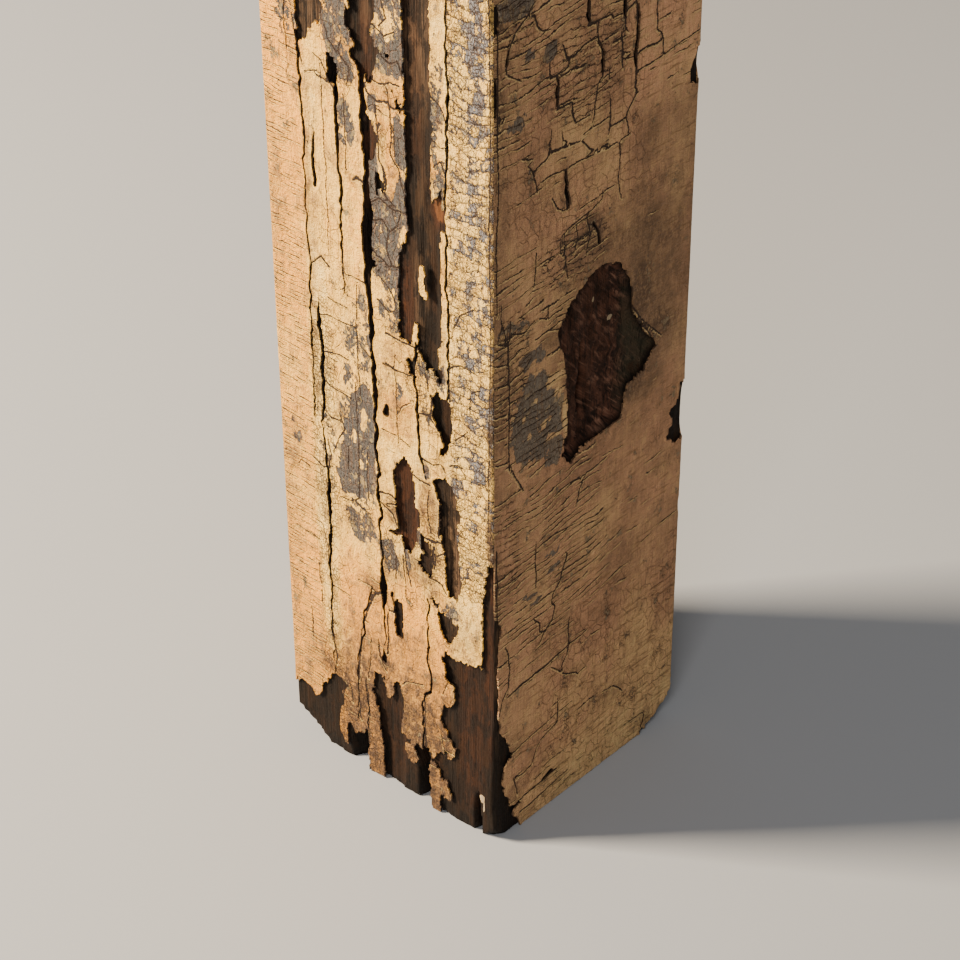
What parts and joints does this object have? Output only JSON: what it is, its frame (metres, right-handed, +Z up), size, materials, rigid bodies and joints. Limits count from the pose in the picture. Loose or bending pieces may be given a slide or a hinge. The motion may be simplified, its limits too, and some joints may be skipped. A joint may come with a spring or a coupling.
{
  "type": "porch post",
  "caption": "Lower end of a weathered square timber porch post with flaking cream paint over grey primer, checked and decayed, cut square at the top.",
  "frame": {"origin": "middle of the square foot, on the floor", "axes": "+Z up along the post, -Y out of the more decayed face, +X out of the face with the scar of a lost rail"},
  "size_m": [0.14, 0.14, 1],
  "materials": {
    "painted_wood": "old cream paint over grey primer, crackled and flaking from dark weathered timber"
  },
  "bodies": {
    "root": {"post": "painted_wood"}
  },
  "joints": []
}
